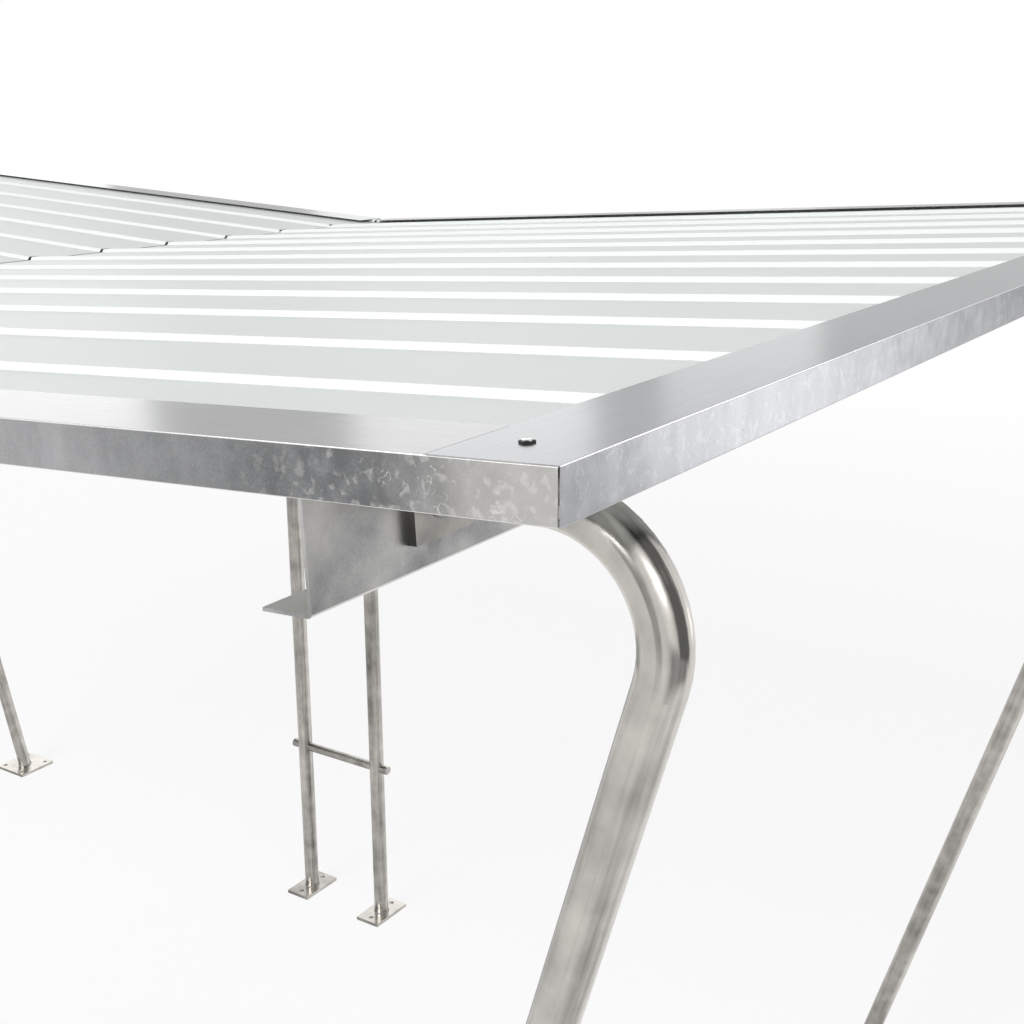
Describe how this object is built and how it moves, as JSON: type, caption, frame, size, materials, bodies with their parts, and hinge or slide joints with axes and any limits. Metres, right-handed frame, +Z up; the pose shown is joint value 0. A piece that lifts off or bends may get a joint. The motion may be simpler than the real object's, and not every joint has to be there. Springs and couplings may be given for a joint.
{
  "type": "bike shelter",
  "caption": "Double-sided bike shelter: butterfly roof of ribbed sheet with folded edge flashings on Z purlins, bent tube legs and twin valley posts.",
  "frame": {"origin": "on the ground at the middle of the plan", "axes": "+X across the shelter towards the right wing, +Y along the valley, +Z up"},
  "size_m": [4.47, 2.644, 2.1999],
  "materials": {
    "coated_sheet": "satin",
    "galvanised_sheet": "galvanised, spangled",
    "galvanised_section": "galvanised, mottled",
    "galvanised_tube": "hot-dip galvanised"
  },
  "bodies": {
    "root": {"front_crossbar": "galvanised_tube", "front_left_leg": "galvanised_tube", "front_left_post": "galvanised_tube", "front_left_rafter": "galvanised_tube", "front_left_roof_sheet": "coated_sheet", "front_left_verge_flashing": "galvanised_sheet", "front_right_leg": "galvanised_tube", "front_right_post": "galvanised_tube", "front_right_rafter": "galvanised_tube", "front_right_roof_sheet": "coated_sheet", "front_right_verge_flashing": "galvanised_sheet", "left_eave_flashing": "galvanised_sheet", "left_eave_purlin": "galvanised_section", "left_lower_purlin": "galvanised_section", "left_upper_purlin": "galvanised_section", "left_valley_purlin": "galvanised_section", "middle_left_roof_sheet": "coated_sheet", "middle_right_roof_sheet": "coated_sheet", "rear_crossbar": "galvanised_tube", "rear_left_leg": "galvanised_tube", "rear_left_post": "galvanised_tube", "rear_left_rafter": "galvanised_tube", "rear_left_roof_sheet": "coated_sheet", "rear_left_verge_flashing": "galvanised_sheet", "rear_right_leg": "galvanised_tube", "rear_right_post": "galvanised_tube", "rear_right_rafter": "galvanised_tube", "rear_right_roof_sheet": "coated_sheet", "rear_right_verge_flashing": "galvanised_sheet", "right_eave_flashing": "galvanised_sheet", "right_eave_purlin": "galvanised_section", "right_lower_purlin": "galvanised_section", "right_upper_purlin": "galvanised_section", "right_valley_purlin": "galvanised_section", "valley_gutter": "galvanised_sheet"}
  },
  "joints": []
}
